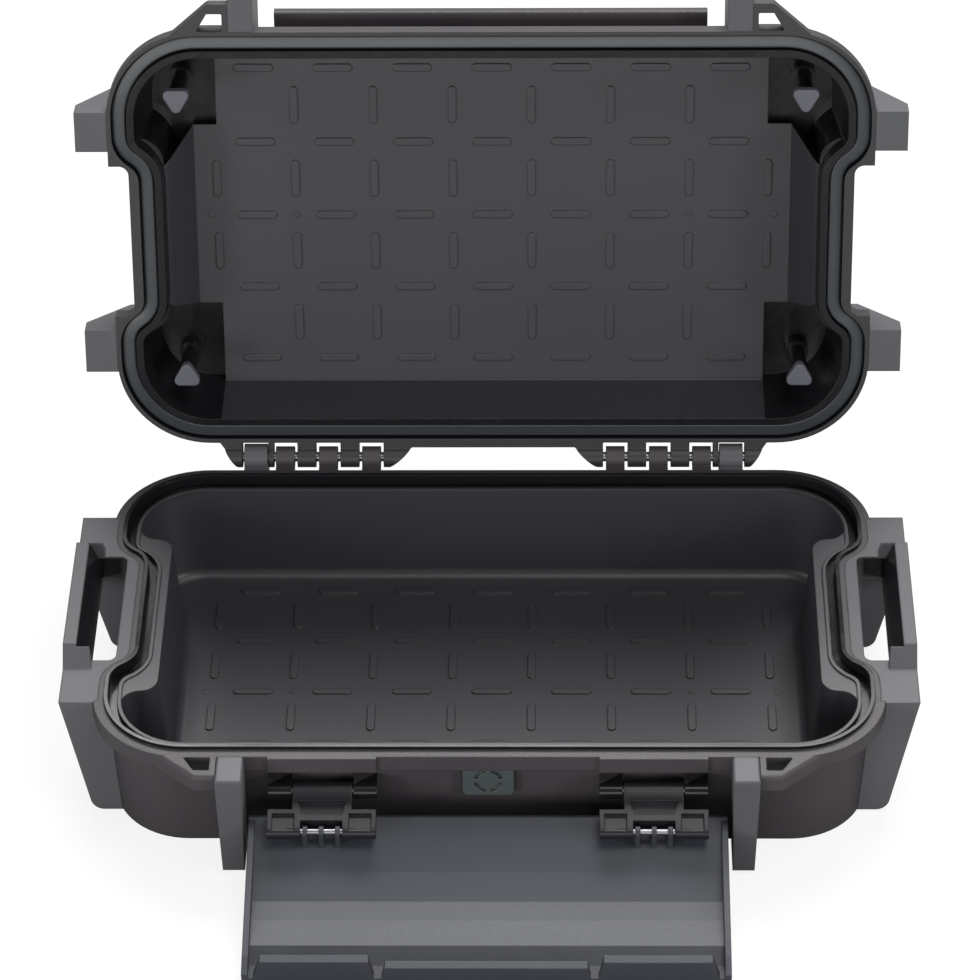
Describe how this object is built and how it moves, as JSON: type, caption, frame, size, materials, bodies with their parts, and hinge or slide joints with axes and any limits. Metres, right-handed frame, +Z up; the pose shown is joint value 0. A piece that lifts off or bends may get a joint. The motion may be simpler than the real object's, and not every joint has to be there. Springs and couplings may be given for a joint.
{
  "type": "waterproof hard case",
  "caption": "Open waterproof hard case with hinged lid, soft grey corner bumpers, side handles and a wide front latch on links.",
  "frame": {"origin": "centre of the tub's underside, on the surface it stands on", "axes": "+X along the case to the right as seen from the latch, +Y towards the hinges, +Z up"},
  "size_m": [0.251, 0.2532, 0.1867],
  "materials": {
    "case_plastic": "fine satin moulded",
    "bumper_rubber": "matt overmoulded",
    "seal_rubber": "smooth soft",
    "pin_steel": "drawn bright",
    "cap_plastic": "matt moulded",
    "latch_plastic": "satin moulded",
    "link_plastic": "polished moulded",
    "valve_plastic": "matt moulded",
    "membrane_film": "matt film"
  },
  "bodies": {
    "base": {"base_shell": "case_plastic", "base_bumper_left": "bumper_rubber", "base_bumper_right": "bumper_rubber", "base_front_guard_left": "bumper_rubber", "base_front_guard_right": "bumper_rubber", "base_rear_guard_left": "bumper_rubber", "base_rear_guard_right": "bumper_rubber", "valve_cover": "valve_plastic", "valve_membrane": "membrane_film", "valve_seal": "seal_rubber", "hinge_pin_left": "pin_steel", "hinge_pin_right": "pin_steel", "link_pin_left": "pin_steel", "link_pin_right": "pin_steel"},
    "lid": {"lid_shell": "case_plastic", "lid_gasket": "seal_rubber", "lid_bumper_left": "bumper_rubber", "lid_bumper_right": "bumper_rubber", "lid_front_guard_left": "bumper_rubber", "lid_front_guard_right": "bumper_rubber", "peg_cap_front_left": "cap_plastic", "peg_cap_front_right": "cap_plastic", "peg_cap_rear_left": "cap_plastic", "peg_cap_rear_right": "cap_plastic"},
    "links": {"latch_link_left": "link_plastic", "latch_link_right": "link_plastic", "panel_pin_left": "pin_steel", "panel_pin_right": "pin_steel"},
    "panel": {"latch_panel": "latch_plastic"}
  },
  "joints": [
    {"name": "lid_hinge", "type": "hinge", "parent": "base", "child": "lid", "pos_m": [0, 0.07305, 0.03763], "axis": [1, 0, 0], "range_deg": [0, 101.2]},
    {"name": "link_swing", "type": "hinge", "parent": "base", "child": "links", "pos_m": [0, -0.0683, 0.024], "axis": [1, 0, 0], "range_deg": [0, 75]},
    {"name": "panel_swing", "type": "hinge", "parent": "links", "child": "panel", "pos_m": [0, -0.08202, 0.02032], "axis": [-1, 0, 0], "range_deg": [0, 179.5]}
  ],
  "couplings": [
    {"joint": "link_swing", "follows": "panel_swing", "ratio": 0.4178}
  ]
}
